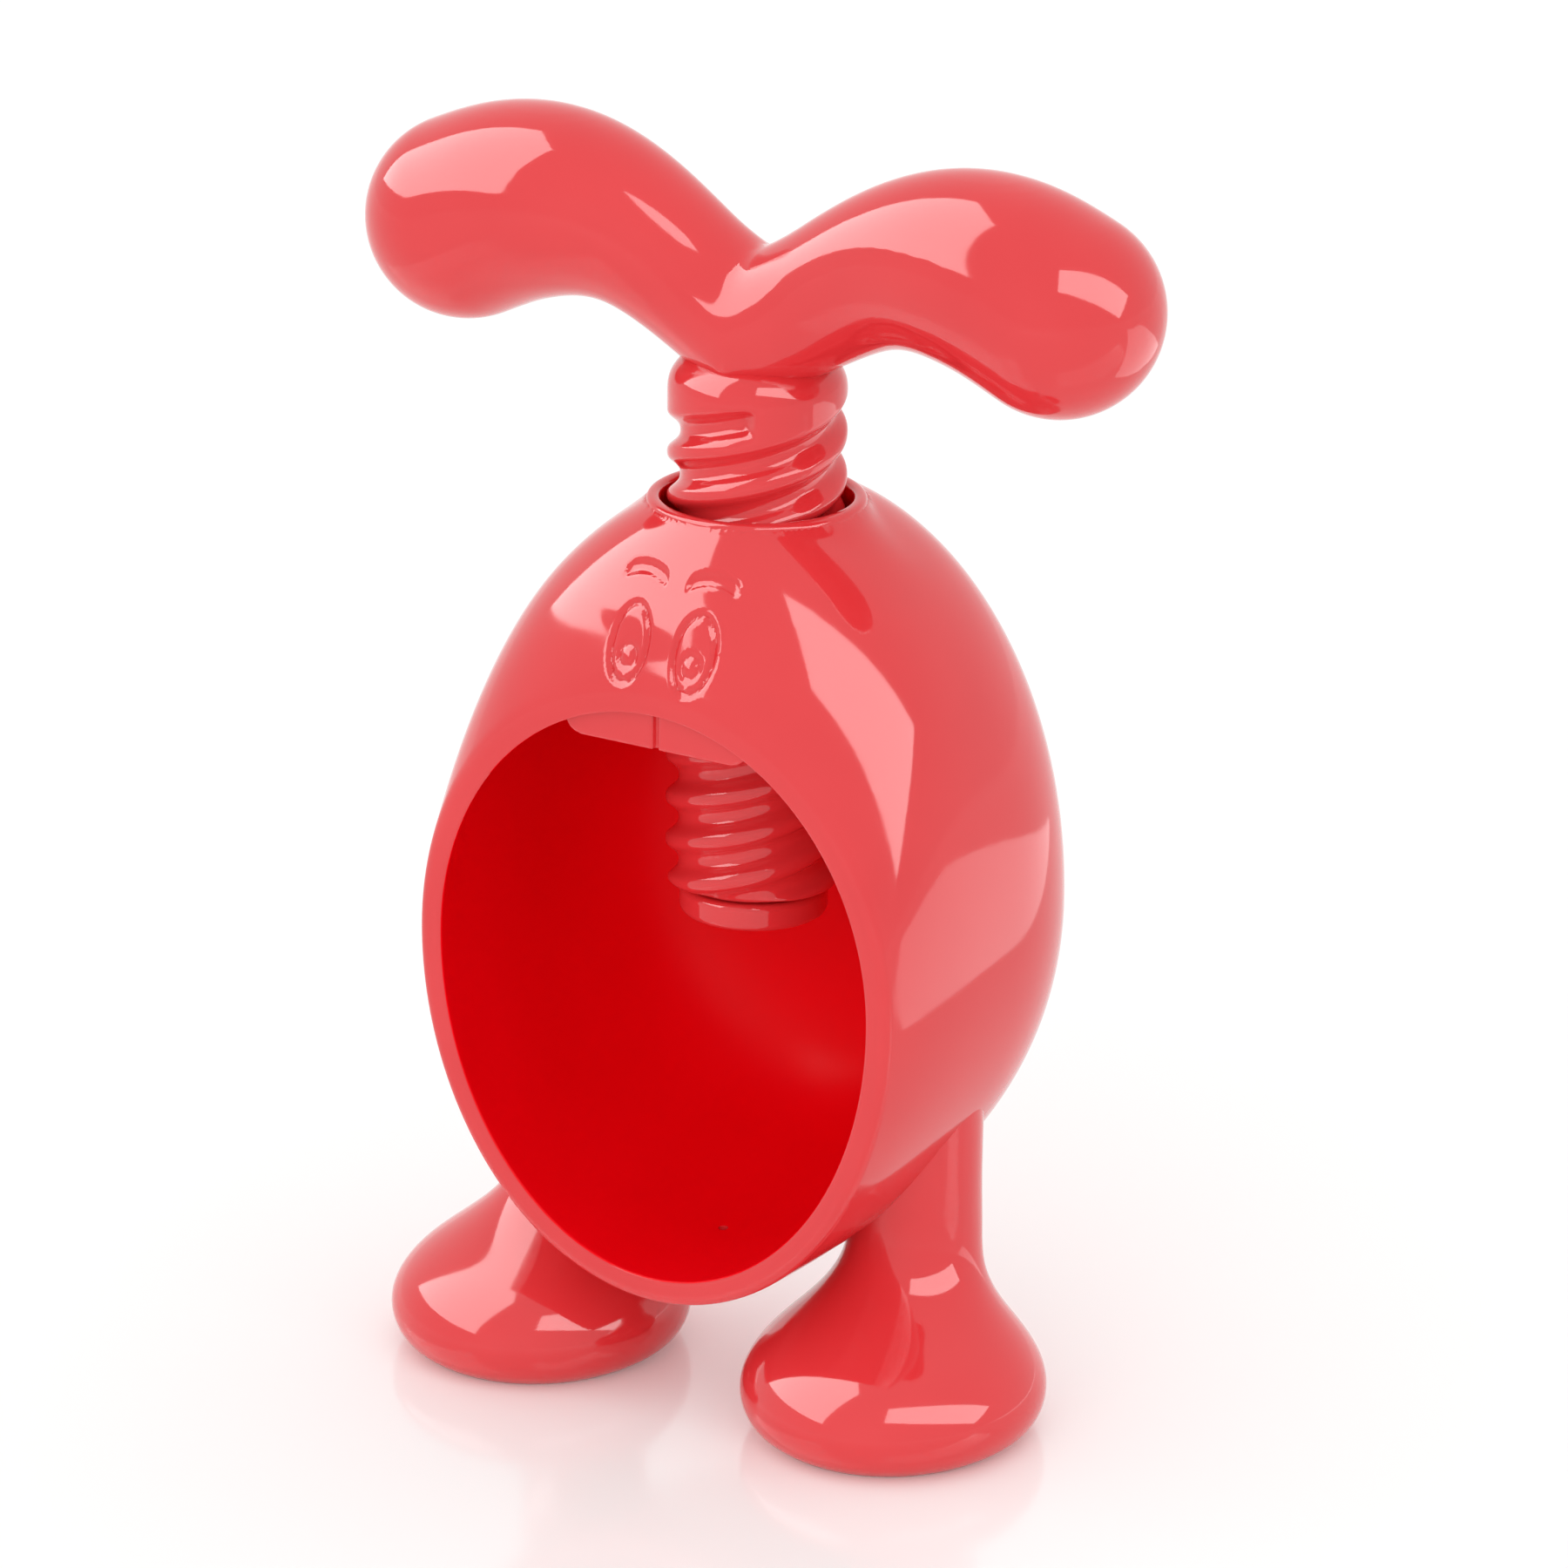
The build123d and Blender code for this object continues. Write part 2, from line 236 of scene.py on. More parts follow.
def pick(piece):
    """One piece selected and active."""
    clear_selection()
    piece.select_set(True)
    bpy.context.view_layer.objects.active = piece


def started(name):
    """The primitive just added, named, with its place in its mesh."""
    piece = bpy.context.object
    piece.name = name
    piece.data.name = name
    bpy.ops.object.transform_apply(location=True, rotation=True, scale=True)
    return piece


def points_of(piece):
    """The mesh's points as rows, in millimetres."""
    flat = np.zeros(len(piece.data.vertices) * 3)
    piece.data.vertices.foreach_get("co", flat)
    return flat.reshape(-1, 3) / MM


def set_points(piece, rows):
    """The mesh's points moved to rows given in millimetres."""
    piece.data.vertices.foreach_set("co", (rows * MM).ravel())
    piece.data.update()


def finish_with(piece, kind, **settings):
    """A modifier added and applied."""
    pick(piece)
    modifier = piece.modifiers.new(kind.title(), kind)
    for key, value in settings.items():
        setattr(modifier, key, value)
    bpy.ops.object.modifier_apply(modifier=modifier.name)


def join(first, *others):
    """Several meshes made one piece."""
    clear_selection()
    for piece in others:
        piece.select_set(True)
    first.select_set(True)
    bpy.context.view_layer.objects.active = first
    bpy.ops.object.join()
    return first


def cut(piece, cutter):
    """The cutter's volume taken out of the piece."""
    finish_with(piece, "BOOLEAN", operation="DIFFERENCE", solver="EXACT", object=cutter)
    bpy.data.objects.remove(cutter)


def outward(piece):
    """Normals of a closed piece turned outwards."""
    pick(piece)
    bpy.ops.object.mode_set(mode="EDIT")
    bpy.ops.mesh.select_all(action="SELECT")
    bpy.ops.mesh.normals_make_consistent(inside=False)
    bpy.ops.object.mode_set(mode="OBJECT")


def shade(piece, angle):
    """Smooth shading that keeps the corners sharper than the angle, in degrees."""
    pick(piece)
    bpy.ops.object.shade_smooth_by_angle(angle=radians(angle))


def globe(name, segments, rings):
    """Closed ball to shape by its rows and columns. Returns it with each point's row share and angle."""
    clear_selection()
    bpy.ops.mesh.primitive_uv_sphere_add(segments=segments, ring_count=rings, radius=1.0)
    piece = started(name)
    points = points_of(piece) * MM
    share = np.arccos(np.clip(points[:, 2], -1, 1)) / pi
    angle = np.arctan2(points[:, 1], points[:, 0])
    return piece, share, angle


def turned(name, profile, segments=128):
    """Closed piece turned about the screw axis from (radius, height) corners, in millimetres."""
    last = len(profile) - 1
    piece, share, angle = globe(name, segments, last)
    index = np.rint(share * last).astype(int)
    radius = np.array([corner[0] for corner in profile])[index]
    height = np.array([corner[1] for corner in profile])[index]
    set_points(piece, np.stack([radius * np.cos(angle), radius * np.sin(angle), height], axis=1))
    outward(piece)
    return piece


def smooth_line(knots, values, at):
    """Natural cubic spline through the values, read at other places."""
    knots = np.asarray(knots, float)
    values = np.asarray(values, float)
    count = len(knots)
    gap = np.diff(knots)
    slope = np.diff(values) / gap
    matrix = np.eye(count)
    right = np.zeros(count)
    for i in range(1, count - 1):
        matrix[i, i - 1:i + 2] = gap[i - 1], 2 * (gap[i - 1] + gap[i]), gap[i]
        right[i] = 6 * (slope[i] - slope[i - 1])
    bend = np.linalg.solve(matrix, right)
    i = np.clip(np.searchsorted(knots, at) - 1, 0, count - 2)
    before = knots[i + 1] - at
    after = at - knots[i]
    return (
        (bend[i] * before ** 3 + bend[i + 1] * after ** 3) / (6 * gap[i])
        + (values[i] / gap[i] - bend[i] * gap[i] / 6) * before
        + (values[i + 1] / gap[i] - bend[i + 1] * gap[i] / 6) * after
    )


def fade(value, low, high):
    """Soft step from 0 at low to 1 at high."""
    share = np.clip((value - low) / (high - low), 0, 1)
    return share * share * (3 - 2 * share)


def weigh(piece, name, weights):
    """Vertex group with a weight for each point that has one."""
    group = piece.vertex_groups.new(name=name)
    for i in np.nonzero(weights > 0.01)[0]:
        group.add([int(i)], float(weights[i]), "REPLACE")
    return name


def egg_rows(inset, share):
    """The section's values at shares of the outline from the back pole (0) to the mouth (1)."""
    stations = []
    for depth, half_width, crown, underside, widest, narrowing in BODY_SECTIONS:
        behind = depth * (BODY_BACK - inset) / BODY_BACK if depth > 0 else depth
        rise = crown - inset - widest
        fall = widest - underside - inset
        stations.append((behind, half_width - inset, rise, fall, widest, narrowing))
    pole = (BODY_BACK - inset, 0.0, 0.0, 0.0, BODY_BACK_HEIGHT, 0.0)
    # The outline runs on past the pole with its sides exchanged, so that it closes roundly there
    past = [(d, -a, -fall, -rise, w, n) for d, a, rise, fall, w, n in reversed(stations)]
    table = np.array(stations + [pole] + past)
    step = np.diff(table, axis=0)
    length = np.sqrt(step[:, 0] ** 2 + (step[:, 1] ** 2 + step[:, 2] ** 2 + step[:, 3] ** 2) / 3)
    knots = np.concatenate([[0.0], np.cumsum(length)])
    at = knots[len(stations)] * (1 - share)
    return [smooth_line(knots, table[:, column], at) for column in range(6)]


def egg_points(inset, share, angle):
    """Points on the egg drawn in by inset."""
    depth, half_width, rise, fall, widest, narrowing = egg_rows(inset, share)
    lift = np.sin(angle)
    width = half_width * (1 - narrowing * np.maximum(lift, 0.0) ** CROWN_POWER)
    height = widest + np.where(lift > 0, rise, fall) * lift
    return np.stack([width * np.cos(angle), depth, height], axis=1)


def rounded(before, corner, after, share):
    """Point at a share of the way round a softened corner."""
    return (1 - share) ** 2 * before + 2 * share * (1 - share) * corner + share ** 2 * after


def shell_row(kind, value, angle):
    """Points of one row of the shell: the outside, round the lip, or the inside."""
    mouth = np.ones(len(angle))
    if kind == "outside":
        return egg_points(0.0, value * mouth, angle)
    if kind == "outer round":
        before = egg_points(0.0, (1 - LIP_OUTER_ROUND / OUTLINE_LENGTH) * mouth, angle)
        after = egg_points(LIP_OUTER_ROUND, mouth, angle)
        return rounded(before, egg_points(0.0, mouth, angle), after, value)
    if kind == "inner round":
        before = egg_points(BODY_WALL - LIP_INNER_ROUND, mouth, angle)
        after = egg_points(BODY_WALL, (1 - LIP_INNER_ROUND / OUTLINE_LENGTH) * mouth, angle)
        return rounded(before, egg_points(BODY_WALL, mouth, angle), after, value)
    return egg_points(BODY_WALL, value * mouth, angle)


def neck_flare(shape):
    """The crown drawn up to the neck's rim, and kept below it inside the rim."""
    radius = np.hypot(shape[:, 0], shape[:, 1])
    beyond = np.maximum(radius - NECK_RIM, 0)
    sideways = (shape[:, 0] / np.maximum(radius, TINY)) ** 2
    front_drop = FLARE_FRONT * np.sqrt(beyond)
    side_drop = FLARE_SIDE * beyond ** FLARE_SIDE_POWER
    flare = NECK_TOP - FLARE_START - ((1 - sideways) * front_drop + sideways * side_drop)
    crown = shape[:, 2]
    drawn = 0.5 * (crown + flare + np.sqrt((crown - flare) ** 2 + FLARE_BLEND))
    drawn = np.where(radius < NECK_RIM, np.minimum(drawn, NECK_TOP - RIM_COVER), drawn)
    away = fade(radius, *FLARE_FADE)
    shape[:, 2] = np.where(crown > FLARE_BASE, drawn * (1 - away) + crown * away, crown)
    return shape


def groove(distance, half_width, depth):
    """Depth of a rounded groove at a distance from its middle line."""
    return depth * (0.5 + 0.5 * np.cos(pi * np.clip(distance / half_width, -1, 1)))


def face_marks(x, z):
    """Depth of the eyes and brows pressed into the head, for points given from the front."""
    side = np.abs(x)
    wide = (side - EYE_PLACE[0]) / EYE_HALF_WIDTH
    high = (z - EYE_PLACE[1]) / EYE_HALF_HEIGHT
    oval = np.sqrt(wide ** 2 + high ** 2) + TINY
    slope = np.sqrt((wide / EYE_HALF_WIDTH) ** 2 + (high / EYE_HALF_HEIGHT) ** 2) / oval + TINY
    eye = groove((oval - 1) / slope, EYE_LINE, EYE_DEPTH)
    from_pupil = np.hypot(side - PUPIL_PLACE[0], z - PUPIL_PLACE[1])
    pupil = groove(from_pupil - PUPIL_RADIUS, PUPIL_LINE, PUPIL_DEPTH)
    pupil -= PUPIL_DOME * (1 - fade(from_pupil, 0.0, PUPIL_RADIUS))
    across = side - BROW_CENTRE[0]
    from_arc = np.hypot(across, z - BROW_CENTRE[1]) - BROW_RADIUS
    past_end = np.maximum(np.abs(across) - BROW_HALF_SPAN, 0)
    band = np.hypot(from_arc, past_end)
    pressed = BROW_DEPTH * (1 - fade(band, BROW_LINE - BROW_EDGE, BROW_LINE + BROW_EDGE))
    brow = np.where(z > BROW_CENTRE[1], pressed, 0)
    return np.where(from_pupil < PUPIL_RADIUS + PUPIL_LINE, eye + pupil, np.maximum(eye, brow))


def egg_shell():
    """Open egg with its wall and its pressed face: outside, rounded lip and inside in one closed surface."""
    outer_end = 1 - LIP_OUTER_ROUND / OUTLINE_LENGTH
    inner_end = 1 - LIP_INNER_ROUND / OUTLINE_LENGTH
    plan = [("outside", share) for share in np.linspace(0, FACE_SHARE, BACK_ROWS, endpoint=False)]
    plan += [("outside", share) for share in np.linspace(FACE_SHARE, outer_end, FACE_ROWS)]
    plan += [("outer round", share) for share in np.linspace(0, 1, OUTER_ROUND_ROWS + 1)[1:]]
    plan += [("inner round", share) for share in np.linspace(0, 1, INNER_ROUND_ROWS)]
    plan += [("inside", share) for share in np.linspace(inner_end, 0, INSIDE_ROWS + 1)[1:]]
    last = len(plan) - 1
    piece, share, angle = globe("body_moulding", BODY_COLUMNS, last)
    row = np.rint(share * last).astype(int)
    from_top = np.mod(angle - pi / 2 + pi, tau) - pi
    angle = pi / 2 + from_top - COLUMN_CROWDING * np.sin(from_top)
    shape = np.zeros((len(row), 3))
    for index, (kind, value) in enumerate(plan):
        here = row == index
        shape[here] = shell_row(kind, value, angle[here])
    outside = row < BACK_ROWS + FACE_ROWS + MARKED_ROUND_ROWS
    shape[outside] = neck_flare(shape[outside])
    set_points(piece, shape)
    outward(piece)
    normals = np.zeros(len(shape) * 3)
    piece.data.vertices.foreach_get("normal", normals)
    normals = normals.reshape(-1, 3)
    faced = outside & (normals[:, 1] < -FACE_LEAN) & (np.abs(shape[:, 0]) < FACE_HALF_WIDTH)
    faced &= (shape[:, 2] > FACE_BASE) & (shape[:, 2] < FACE_TOP)
    depth = np.where(faced, face_marks(shape[:, 0], shape[:, 2]), 0)
    set_points(piece, shape - normals * depth[:, None])
    return piece


def egg_solid(name, inset):
    """Closed egg drawn in by inset, to trim other pieces with."""
    piece, share, angle = globe(name, TRIM_COLUMNS, TRIM_ROWS)
    row = np.rint(share * TRIM_ROWS)
    shape = egg_points(inset, np.minimum(row / (TRIM_ROWS - 1), 1.0), angle)
    shape[row == TRIM_ROWS] = (0.0, -MOUTH_PLANE, BODY_SECTIONS[0][4])
    set_points(piece, shape)
    outward(piece)
    return piece


def neck_bore():
    """The way through the neck: the bush's seat below and the plain hole above."""
    below = BUSH_BASE - BORE_OVERRUN
    above = NECK_TOP + BORE_OVERRUN
    edge = [(NECK_BORE + out, NECK_TOP + up) for out, up in BORE_ROUND]
    return turned("bore_cutter", (
        (0, below), (BUSH_SEAT, below), (BUSH_SEAT, BUSH_TOP), (NECK_BORE, BUSH_TOP),
        *edge, (edge[-1][0], above), (0, above),
    ), NECK_SEGMENTS)


def body_moulding():
    """Body with its neck rim, boss and pressed face."""
    piece = egg_shell()
    edge = [(NECK_RIM - inward, NECK_TOP - below) for inward, below in RIM_ROUND]
    rim = turned("neck_rim", (
        (0, RIM_FOOT), (NECK_RIM - RIM_TAPER, RIM_FOOT), (NECK_RIM, RIM_FULL), *edge, (0, NECK_TOP),
    ), NECK_SEGMENTS)
    boss = turned("bush_boss", (
        (0, BUSH_BASE), (BOSS_RADIUS, BUSH_BASE), (BOSS_RADIUS, BOSS_TOP), (0, BOSS_TOP),
    ))
    for part in (piece, rim, boss):
        cut(part, neck_bore())
    clear_selection()
    bpy.ops.mesh.primitive_cylinder_add(
        vertices=32, radius=GATE_MARK_RADIUS * MM, depth=2 * GATE_MARK_DEPTH * MM,
        location=[value * MM for value in GATE_MARK])
    cut(piece, started("gate_mark"))
    join(piece, rim, boss)
    shade(piece, 40.0)
    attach(piece, "body")
    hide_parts("body_shell")
    return piece


def thread_radius(angle, height):
    """Radius of the round thread, with each groove closed past its end."""
    turn = THREAD_END_ANGLE + tau * (height - THREAD_END) / THREAD_LEAD
    wave = -np.cos(THREAD_STARTS * (angle - turn))
    middle = THREAD_CREST - THREAD_DEPTH / 2
    radius = middle + THREAD_DEPTH / 2 * wave * (1 + THREAD_FULLNESS * (1 - wave * wave))
    third = tau / THREAD_STARTS
    past = np.mod(angle - THREAD_END_ANGLE, third)
    stop_height = THREAD_END + THREAD_LEAD * past / tau - THREAD_PITCH / 2
    closed = height > stop_height
    last_groove = (height > stop_height - THREAD_PITCH) & ~closed
    to_end = (third - past) * THREAD_CREST
    running_out = 1 - fade(to_end, 0.0, THREAD_END_FILL)
    filled = np.where(last_groove, running_out, np.where(closed, 1.0, 0.0))
    return radius + (THREAD_CREST - radius) * filled


def threaded_spindle():
    """Spindle with its three-start round thread and barrel-shaped collar."""
    foot_heights = [SPINDLE_BASE + rise for _, rise in SPINDLE_FOOT]
    thread_heights = list(np.arange(SPINDLE_BASE + SPINDLE_THREAD_RISE, THREAD_TOP, THREAD_STEP))
    heights = foot_heights + thread_heights + [height for height, _ in COLLAR_SECTIONS]
    # Plain radius of each row, with none for the rows of the thread
    plain = [radius for radius, _ in SPINDLE_FOOT]
    plain += [np.inf] * len(thread_heights)
    plain += [radius for _, radius in COLLAR_SECTIONS]
    last = len(heights) - 1
    piece, share, angle = globe("spindle_moulding", SPINDLE_COLUMNS, last)
    index = np.rint(share * last).astype(int)
    height = np.array(heights)[index]
    plain_radius = np.array(plain)[index]
    radius = np.where(np.isinf(plain_radius), thread_radius(angle, height), plain_radius)
    drawn_out = np.clip((height - foot_heights[-1]) / SPINDLE_END_RISE, 0, 1)
    radius -= np.where(index >= len(SPINDLE_FOOT), SPINDLE_END_DRAW * (1 - drawn_out) ** 2, 0)
    set_points(piece, np.stack([radius * np.cos(angle), radius * np.sin(angle), height], axis=1))
    outward(piece)
    finish_with(piece, "SMOOTH", factor=0.5, iterations=3)
    shade(piece, 60.0)
    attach(piece, "screw")
    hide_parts("spindle")
    return piece


def one_ear():
    """Ear drawn along its curved middle line, with a rounded tip."""
    table = np.array(EAR_SECTIONS)
    step = np.diff(table[:, :2], axis=0)
    knots = np.concatenate([[0.0], np.cumsum(np.hypot(step[:, 0], step[:, 1]))])
    end = knots[-1]
    tip = table[-1, 2]
    piece, share, angle = globe("ear_moulding", EAR_COLUMNS, EAR_ROWS)
    run = share * (end + tip * pi / 2)
    at = np.minimum(run, end)
    reach = smooth_line(knots, table[:, 0], at)
    height = smooth_line(knots, table[:, 1], at) + HANDLE_BASE
    radius = smooth_line(knots, table[:, 2], at)
    along_x = smooth_line(knots, table[:, 0], at) - smooth_line(knots, table[:, 0], at - EAR_STEP)
    along_z = smooth_line(knots, table[:, 1], at) - smooth_line(knots, table[:, 1], at - EAR_STEP)
    length = np.hypot(along_x, along_z)
    along_x /= length
    along_z /= length
    round_off = np.maximum(run - end, 0) / tip
    reach += along_x * tip * np.sin(round_off)
    height += along_z * tip * np.sin(round_off)
    radius = radius * np.cos(round_off)
    radius[share < TINY] = 0
    widen = 1 + EAR_ROOT_WIDENING * (1 - fade(at, *EAR_ROOT_REACH))
    x = reach + radius * np.cos(angle) * along_z
    y = radius * widen * np.sin(angle)
    z = height - radius * np.cos(angle) * along_x
    set_points(piece, np.stack([x, y, z], axis=1))
    outward(piece)
    pick(piece)
    bpy.ops.object.mode_set(mode="EDIT")
    for place, normal in (((-EAR_OVERLAP, 0, 0), (1, 0, 0)), ((0, 0, EAR_FLOOR), (0, 0, 1))):
        bpy.ops.mesh.select_all(action="SELECT")
        bpy.ops.mesh.bisect(
            plane_co=[value * MM for value in place], plane_no=normal, use_fill=True, clear_inner=True)
    bpy.ops.object.mode_set(mode="OBJECT")
    return piece


def ear_moulding():
    """Both ears in one moulding, the wing handle."""
    piece = one_ear()
    pick(piece)
    bpy.ops.object.duplicate()
    other = bpy.context.object
    other.rotation_euler = (0, 0, pi)
    bpy.ops.object.transform_apply(location=True, rotation=True, scale=True)
    join(piece, other)
    finish_with(piece, "REMESH", mode="VOXEL", voxel_size=EAR_VOXEL * MM, use_smooth_shade=True)
    finish_with(piece, "SMOOTH", factor=0.5, iterations=EAR_SMOOTHING)
    place = points_of(piece)
    valley = (1 - fade(np.abs(place[:, 0]), *VALLEY_REACH)) * fade(place[:, 2], *VALLEY_HEIGHTS)
    group = weigh(piece, "ear_valley", valley)
    finish_with(piece, "SMOOTH", factor=0.5, iterations=VALLEY_SMOOTHING, vertex_group=group)
    piece.rotation_euler = (0, 0, HANDLE_TURN)
    pick(piece)
    bpy.ops.object.transform_apply(location=True, rotation=True, scale=True)
    shade(piece, 50.0)
    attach(piece, "screw")
    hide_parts("ear_handle")
    return piece


def leg_moulding(name, side):
    """Leg and foot in one moulding, trimmed to the body and open below for its sole plate."""
    table = np.array(FOOT_SECTIONS)
    step = np.diff(table[:, [0, 2]], axis=0)
    knots = np.concatenate([[0.0], np.cumsum(np.hypot(step[:, 0], step[:, 1]))])
    piece, share, angle = globe(name, LEG_COLUMNS, LEG_ROWS)
    row = np.rint(share * LEG_ROWS)
    at = knots[-1] * np.clip((row - LEG_CAP_ROWS) / (LEG_ROWS - 2 * LEG_CAP_ROWS), 0, 1)
    height = smooth_line(knots, table[:, 0], at)
    lean = smooth_line(knots, table[:, 1], at)
    closing = np.clip(np.minimum(row, LEG_ROWS - row) / LEG_CAP_ROWS, 0, 1)
    half_width = smooth_line(knots, table[:, 2], at) * closing
    half_length = smooth_line(knots, table[:, 3], at) * closing
    x = SOLE_PLACE[0] + (LEG_PLACE[0] - SOLE_PLACE[0]) * lean + half_width * np.cos(angle)
    y = SOLE_PLACE[1] + (LEG_PLACE[1] - SOLE_PLACE[1]) * lean + half_length * np.sin(angle)
    set_points(piece, np.stack([side * x, y, height], axis=1))
    outward(piece)
    cut(piece, egg_solid("body_cutter", LEG_SINK))
    clear_selection()
    bpy.ops.mesh.primitive_cylinder_add(
        vertices=96, radius=MM, depth=2 * SOLE_DEPTH * MM,
        location=(side * SOLE_PLACE[0] * MM, SOLE_PLACE[1] * MM, 0))
    bpy.context.object.scale = (FOOT_SECTIONS[0][2] - SOLE_EDGE, FOOT_SECTIONS[0][3] - SOLE_EDGE, 1)
    cut(piece, started("sole_cutter"))
    shade(piece, 40.0)
    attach(piece, "body")
    return piece


def select_edges(piece, wanted):
    """Edges whose two points are both wanted, selected in edit mode."""
    pick(piece)
    bpy.ops.object.mode_set(mode="EDIT")
    bpy.ops.mesh.select_mode(type="EDGE")
    bpy.ops.mesh.select_all(action="DESELECT")
    bpy.ops.object.mode_set(mode="OBJECT")
    for edge in piece.data.edges:
        edge.select = bool(wanted[edge.vertices[0]] and wanted[edge.vertices[1]])
    bpy.ops.object.mode_set(mode="EDIT")


def front_teeth():
    """Two front teeth on one plate with rounded outer corners, let into the upper lip."""
    clear_selection()
    bpy.ops.mesh.primitive_cube_add(size=MM, location=(
        0, (TOOTH_FRONT + TOOTH_THICKNESS / 2) * MM, (TOOTH_EDGE + TOOTH_TOP) / 2 * MM))
    bpy.context.object.scale = (2 * TOOTH_HALF_WIDTH, TOOTH_THICKNESS, TOOTH_TOP - TOOTH_EDGE)
    piece = started("front_teeth")
    for side in (-1, 1):
        place = points_of(piece)
        select_edges(piece, (place[:, 2] < TOOTH_EDGE + 1) & (side * place[:, 0] > 1))
        bpy.ops.mesh.bevel(offset=TOOTH_CORNER * MM, segments=8, profile=0.5)
        bpy.ops.object.mode_set(mode="OBJECT")
    clear_selection()
    bpy.ops.mesh.primitive_cylinder_add(
        vertices=24, radius=MM, depth=2 * (TOOTH_TOP - TOOTH_EDGE) * MM,
        location=(0, TOOTH_FRONT * MM, TOOTH_EDGE * MM))
    bpy.context.object.scale = (TOOTH_GAP / 2, TOOTH_GAP_DEPTH, 1)
    cut(piece, started("gap_cutter"))
    lip = egg_solid("lip_cutter", BODY_WALL / 2)
    finish_with(piece, "BOOLEAN", operation="INTERSECT", solver="EXACT", object=lip)
    bpy.data.objects.remove(lip)
    finish_with(piece, "REMESH", mode="VOXEL", voxel_size=TOOTH_VOXEL * MM, use_smooth_shade=True)
    finish_with(piece, "SMOOTH", factor=0.5, iterations=TOOTH_SMOOTHING)
    shade(piece, 60.0)
    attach(piece, "body")
    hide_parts("tooth_plate")
    return piece


def linear(hexadecimal):
    """sRGB hex colour as linear red, green, blue and alpha."""
    channels = [int(hexadecimal[i:i + 2], 16) / 255 for i in (0, 2, 4)]
    return [c / 12.92 if c <= 0.04045 else ((c + 0.055) / 1.055) ** 2.4 for c in channels] + [1.0]


def add(tree, kind, settings=None, links=None):
    """One node with its settings, its socket values and what feeds it."""
    node = tree.nodes.new(kind)
    for key, value in (settings or {}).items():
        if isinstance(key, str) and hasattr(node, key):
            setattr(node, key, value)
        else:
            node.inputs[key].default_value = value
    for key, source in (links or {}).items():
        tree.links.new(source, node.inputs[key])
    return node


def moulded_abs(name, body_hex, deep_hex, gloss, peel, shine=0.5):
    """Moulded ABS: dense even colour with faint flow shades, and a skin with slight orange peel."""
    material = bpy.data.materials.new(name)
    material.use_nodes = True
    tree = material.node_tree
    tree.nodes.clear()
    place = add(tree, "ShaderNodeTexCoord").outputs["Object"]
    # Flow shades about 18 mm across
    flow = add(tree, "ShaderNodeTexNoise", {
        "Scale": 1 / (18 * MM), "Detail": 2.0, "Roughness": 0.45}, {"Vector": place})
    tint = add(tree, "ShaderNodeValToRGB", None, {"Fac": flow.outputs["Fac"]})
    tint.color_ramp.elements[0].position = 0.25
    tint.color_ramp.elements[0].color = linear(deep_hex)
    tint.color_ramp.elements[1].position = 0.75
    tint.color_ramp.elements[1].color = linear(body_hex)
    # Patches of handling, about 7 mm across, that vary the gloss
    wipe = add(tree, "ShaderNodeTexNoise", {
        "Scale": 1 / (7 * MM), "Detail": 3.0, "Roughness": 0.6}, {"Vector": place})
    sheen = add(tree, "ShaderNodeMapRange", {
        "From Min": 0.3, "From Max": 0.7, "To Min": gloss[0], "To Max": gloss[1]}, {
        "Value": wipe.outputs["Fac"]})
    # Orange peel about 2.2 mm across, as deep as peel in millimetres
    skin = add(tree, "ShaderNodeTexNoise", {
        "Scale": 1 / (2.2 * MM), "Detail": 1.0, "Roughness": 0.4}, {"Vector": place})
    relief = add(tree, "ShaderNodeBump", {"Strength": 1.0, "Distance": peel * MM}, {
        "Height": skin.outputs["Fac"]})
    shader = add(tree, "ShaderNodeBsdfPrincipled", {"IOR": 1.53, "Specular IOR Level": shine}, {
        "Base Color": tint.outputs["Color"], "Roughness": sheen.outputs["Result"],
        "Normal": relief.outputs["Normal"]})
    add(tree, "ShaderNodeOutputMaterial", None, {"Surface": shader.outputs["BSDF"]})
    return material


def plated_steel(name):
    """Zinc-plated steel: cool grey with a faint mottled bloom, and fine turning marks along its axis."""
    material = bpy.data.materials.new(name)
    material.use_nodes = True
    tree = material.node_tree
    tree.nodes.clear()
    place = add(tree, "ShaderNodeTexCoord").outputs["Object"]
    # Bloom about 1.5 mm across
    bloom = add(tree, "ShaderNodeTexNoise", {
        "Scale": 1 / (1.5 * MM), "Detail": 3.0, "Roughness": 0.55}, {"Vector": place})
    tint = add(tree, "ShaderNodeValToRGB", None, {"Fac": bloom.outputs["Fac"]})
    tint.color_ramp.elements[0].position = 0.3
    tint.color_ramp.elements[0].color = linear("A9AEB2")
    tint.color_ramp.elements[1].position = 0.7
    tint.color_ramp.elements[1].color = linear("C6CACC")
    # The wave repeats every pi / 10 of this 0.4 mm, so the turning marks lie about 0.13 mm apart
    marks = add(tree, "ShaderNodeTexWave", {
        "wave_type": "BANDS", "bands_direction": "Z", "Scale": 1 / (0.4 * MM), "Distortion": 0.6}, {
        "Vector": place})
    sheen = add(tree, "ShaderNodeMapRange", {"To Min": 0.26, "To Max": 0.38}, {
        "Value": marks.outputs["Fac"]})
    shader = add(tree, "ShaderNodeBsdfPrincipled", {"Metallic": 1.0}, {
        "Base Color": tint.outputs["Color"], "Roughness": sheen.outputs["Result"]})
    add(tree, "ShaderNodeOutputMaterial", None, {"Surface": shader.outputs["BSDF"]})
    return material


def paint(piece, material):
    """The piece in one material."""
    piece.data.materials.clear()
    piece.data.materials.append(material)


